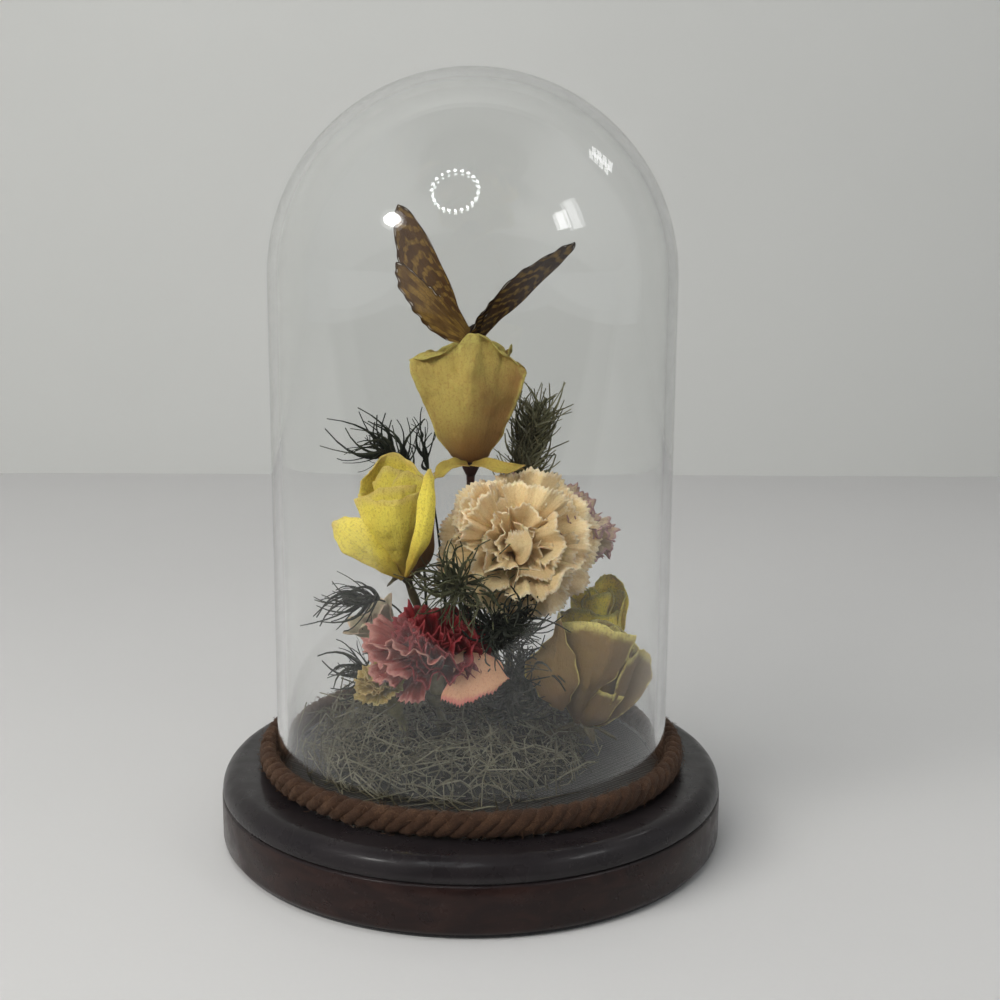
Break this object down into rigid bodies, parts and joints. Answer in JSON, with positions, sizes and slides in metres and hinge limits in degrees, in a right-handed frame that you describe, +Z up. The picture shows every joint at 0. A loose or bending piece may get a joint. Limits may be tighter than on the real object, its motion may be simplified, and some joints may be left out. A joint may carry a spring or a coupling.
{
  "type": "butterfly and dried flowers in glass dome",
  "caption": "Clear glass dome on a round dark wooden base with a braided trim, over a fixed spray of dried roses and carnations with a mounted butterfly on top.",
  "frame": {"origin": "middle of the felt's underside, on the surface the base stands on", "axes": "+Z up along the dome's axis; the front of the arrangement faces -Y; +X to the right seen from the front"},
  "size_m": [0.1468, 0.1468, 0.219],
  "materials": {
    "dark_wood": "satin lacquer, near black with a brown side wall",
    "felt": "matte felt",
    "disc_cloth": "matte woven cloth",
    "brown_cord": "matte, fuzzy plaited cord",
    "clear_glass": "polished clear glass",
    "moss": "dry curly moss",
    "rose_olive": "dried petals, olive yellow",
    "rose_yellow": "dried petals, lemon yellow",
    "rose_green_yellow": "dried petals, green yellow",
    "rose_tan": "dried petals, tan",
    "carnation_cream": "dried petals, cream",
    "carnation_mauve": "dried petals, grey pink",
    "carnation_red": "dried petals, red to pink",
    "flower_cream": "dried petals, peach cream",
    "flower_yellow": "dried petals, ochre",
    "butterfly_wing": "scaled wings, brown with ochre patches",
    "fern_needles": "dried green needles"
  },
  "bodies": {
    "root": {"wooden_base": "dark_wood", "base_felt": "felt", "fabric_disc": "disc_cloth", "braided_trim": "brown_cord", "glass_dome": "clear_glass", "moss_bed": "moss", "top_rose": "rose_olive", "left_rose": "rose_yellow", "right_upper_rose": "rose_green_yellow", "right_lower_rose": "rose_tan", "cream_carnation": "carnation_cream", "mauve_carnation": "carnation_mauve", "red_carnation": "carnation_red", "small_cream_flower": "flower_cream", "small_yellow_flower": "flower_yellow", "butterfly": "butterfly_wing", "fern_top_left": "fern_needles", "fern_behind_rose": "fern_needles", "fern_top_right": "fern_needles", "fern_centre": "fern_needles", "fern_mid_left": "fern_needles", "fern_low_left": "fern_needles", "fern_low_centre": "fern_needles", "fern_low_right": "fern_needles"}
  },
  "joints": []
}
